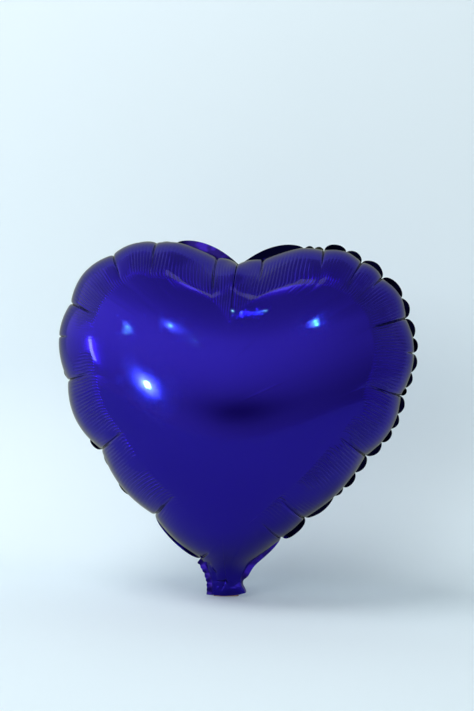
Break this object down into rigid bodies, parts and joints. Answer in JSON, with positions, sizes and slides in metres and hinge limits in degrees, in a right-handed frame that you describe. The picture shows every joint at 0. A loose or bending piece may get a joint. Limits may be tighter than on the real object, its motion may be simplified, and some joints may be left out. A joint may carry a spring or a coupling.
{
  "type": "foil balloon",
  "caption": "Heart-shaped metallised film party balloon, blown up, with a flat welded edge and a self-sealing valve in the tail that it is tied by.",
  "frame": {"origin": "middle of the tail's mouth, in the plane where the two films are welded", "axes": "+X to the heart's right as seen from the front, +Y from the front to the rear, +Z from the tail up to the notch"},
  "size_m": [0.3634, 0.1942, 0.3625],
  "materials": {
    "violet_foil_front": "mirror-bright metallised film under violet-blue lacquer, creased along the edge",
    "violet_foil_rear": "mirror-bright metallised film under violet-blue lacquer, creased along the edge",
    "clear_film_front": "thin milky polyethylene film",
    "clear_film_rear": "thin milky polyethylene film"
  },
  "bodies": {
    "root": {"front_film": "violet_foil_front", "rear_film": "violet_foil_rear", "front_valve_ply": "clear_film_front", "rear_valve_ply": "clear_film_rear"}
  },
  "joints": []
}
